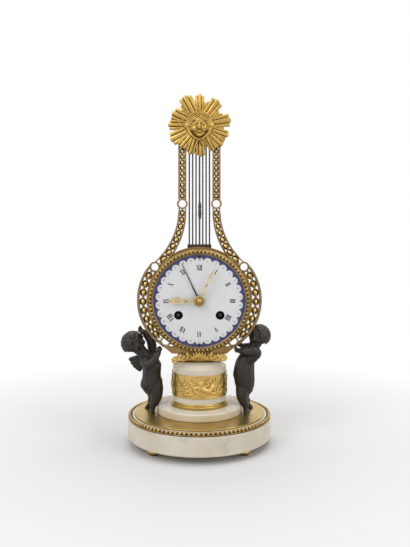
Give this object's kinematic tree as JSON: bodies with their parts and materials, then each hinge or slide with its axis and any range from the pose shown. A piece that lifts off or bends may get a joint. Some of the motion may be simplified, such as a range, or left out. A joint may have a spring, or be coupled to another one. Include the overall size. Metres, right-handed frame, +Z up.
{
  "type": "lyre mantel clock",
  "caption": "Spring-driven striking mantel clock: an enamel dial in an openwork gilt lyre with strings and a sunburst, on a marble drum and round marble base with bronze figures.",
  "frame": {"origin": "on the table under the column's axis, in the plane of the feet's undersides", "axes": "+Z up, -Y towards the viewer of the dial, +X to that viewer's right"},
  "size_m": [0.1618, 0.152, 0.3695],
  "materials": {
    "gilt": "mercury gilt, part matt and part burnished",
    "marble": "polished white marble with faint grey veins",
    "bronze": "dark satin patina",
    "enamel": "glossy white enamel with a blue border",
    "steel": "plain",
    "brass": "brushed",
    "black": "black",
    "bell_metal": "turned"
  },
  "bodies": {
    "frame": {"feet": "gilt", "base_slab": "marble", "base_bead_ring": "gilt", "gilt_tray": "gilt", "plinth_disc": "marble", "column_ring": "gilt", "column_drum": "marble", "frieze_band": "gilt", "tie_rod": "steel", "tie_nut": "brass", "acanthus_mount": "gilt", "lyre_ring": "gilt", "lyre_arm_left": "gilt", "lyre_arm_right": "gilt", "bead_strands": "gilt", "yoke": "gilt", "strings": "steel", "string_bridge": "bronze", "sun_rays": "gilt", "sun_mask": "gilt", "putto_left": "bronze", "putto_right": "bronze", "putto_studs": "brass", "bezel": "gilt", "dial": "enamel", "case_screws": "steel", "drum_case": "brass", "rear_cover": "brass", "front_plate": "brass", "back_plate": "brass", "plate_pillars": "brass", "ratchet_clicks": "steel", "bell": "bell_metal", "bell_post": "steel", "suspension_cock": "brass"},
    "going_barrel": {"going_barrel": "brass", "going_mainspring": "steel"},
    "going_winding": {"going_winding_arbor": "steel"},
    "strike_barrel": {"strike_barrel": "brass", "strike_mainspring": "steel"},
    "strike_winding": {"strike_winding_arbor": "steel"},
    "second": {"second_wheel": "brass"},
    "centre": {"centre_wheel": "brass"},
    "third": {"third_wheel": "brass"},
    "escape": {"escape_wheel": "brass"},
    "anchor": {"anchor": "steel"},
    "strike_second": {"strike_second_wheel": "brass", "count_wheel": "brass"},
    "pin": {"pin_wheel": "brass"},
    "fly": {"fly": "brass"},
    "hammer": {"hammer": "steel"},
    "minute": {"cannon_pinion": "brass", "minute_hand": "gilt"},
    "minute_wheel": {"minute_wheel": "brass"},
    "hour": {"hour_wheel": "brass", "hour_hand": "gilt"},
    "date": {"date_wheel": "brass", "date_hand": "black"},
    "pendulum": {"pendulum_rod": "steel", "pendulum_bob": "gilt"}
  },
  "joints": [
    {"name": "minute_turn", "type": "hinge", "parent": "frame", "child": "minute", "pos_m": [0, 0, 0.15045], "axis": [0, -1, 0], "continuous": true},
    {"name": "minute_wheel_turn", "type": "hinge", "parent": "frame", "child": "minute_wheel", "pos_m": [0.006, 0, 0.16084], "axis": [0, -1, 0], "continuous": true},
    {"name": "hour_turn", "type": "hinge", "parent": "frame", "child": "hour", "pos_m": [0, 0, 0.15045], "axis": [0, -1, 0], "continuous": true},
    {"name": "date_turn", "type": "hinge", "parent": "frame", "child": "date", "pos_m": [0, 0, 0.15045], "axis": [0, -1, 0], "continuous": true},
    {"name": "third_turn", "type": "hinge", "parent": "frame", "child": "third", "pos_m": [-0.00178, 0, 0.16742], "axis": [0, -1, 0], "continuous": true},
    {"name": "centre_turn", "type": "hinge", "parent": "frame", "child": "centre", "pos_m": [0, 0, 0.15045], "axis": [0, -1, 0], "continuous": true},
    {"name": "escape_turn", "type": "hinge", "parent": "frame", "child": "escape", "pos_m": [0, 0, 0.18272], "axis": [0, -1, 0], "continuous": true},
    {"name": "second_turn", "type": "hinge", "parent": "frame", "child": "second", "pos_m": [-0.01569, 0, 0.15754], "axis": [0, -1, 0], "continuous": true},
    {"name": "going_barrel_turn", "type": "hinge", "parent": "frame", "child": "going_barrel", "pos_m": [-0.0219, 0, 0.13535], "axis": [0, -1, 0], "continuous": true},
    {"name": "pin_turn", "type": "hinge", "parent": "frame", "child": "pin", "pos_m": [0.0249, 0, 0.17377], "axis": [0, -1, 0], "continuous": true},
    {"name": "strike_second_turn", "type": "hinge", "parent": "frame", "child": "strike_second", "pos_m": [0.0179, 0, 0.15804], "axis": [0, -1, 0], "continuous": true},
    {"name": "strike_barrel_turn", "type": "hinge", "parent": "frame", "child": "strike_barrel", "pos_m": [0.0219, 0, 0.13535], "axis": [0, -1, 0], "continuous": true},
    {"name": "fly_turn", "type": "hinge", "parent": "frame", "child": "fly", "pos_m": [0.01464, 0, 0.18238], "axis": [0, -1, 0], "continuous": true},
    {"name": "going_winding_turn", "type": "hinge", "parent": "frame", "child": "going_winding", "pos_m": [-0.0219, 0, 0.13535], "axis": [0, -1, 0], "continuous": true},
    {"name": "strike_winding_turn", "type": "hinge", "parent": "frame", "child": "strike_winding", "pos_m": [0.0219, 0, 0.13535], "axis": [0, -1, 0], "continuous": true},
    {"name": "pendulum_swing", "type": "hinge", "parent": "frame", "child": "pendulum", "pos_m": [0, 0.045, 0.32845], "axis": [0, -1, 0], "range_deg": [-2, 2]},
    {"name": "anchor_swing", "type": "hinge", "parent": "frame", "child": "anchor", "pos_m": [0, 0, 0.19232], "axis": [0, -1, 0], "range_deg": [-8, 8]},
    {"name": "hammer_swing", "type": "hinge", "parent": "frame", "child": "hammer", "pos_m": [0.041, 0, 0.16245], "axis": [0, -1, 0], "range_deg": [0, 8]}
  ],
  "couplings": [
    {"joint": "minute_wheel_turn", "follows": "minute_turn", "ratio": -0.33333},
    {"joint": "hour_turn", "follows": "minute_turn", "ratio": 0.083333},
    {"joint": "centre_turn", "follows": "third_turn", "ratio": -0.083333},
    {"joint": "escape_turn", "follows": "third_turn", "ratio": -10},
    {"joint": "second_turn", "follows": "third_turn", "ratio": 0.011574},
    {"joint": "going_barrel_turn", "follows": "third_turn", "ratio": -0.0016534},
    {"joint": "strike_second_turn", "follows": "pin_turn", "ratio": -0.13889},
    {"joint": "strike_barrel_turn", "follows": "pin_turn", "ratio": 0.019841},
    {"joint": "fly_turn", "follows": "pin_turn", "ratio": -8.5714},
    {"joint": "anchor_swing", "follows": "pendulum_swing", "ratio": 3.9276}
  ]
}
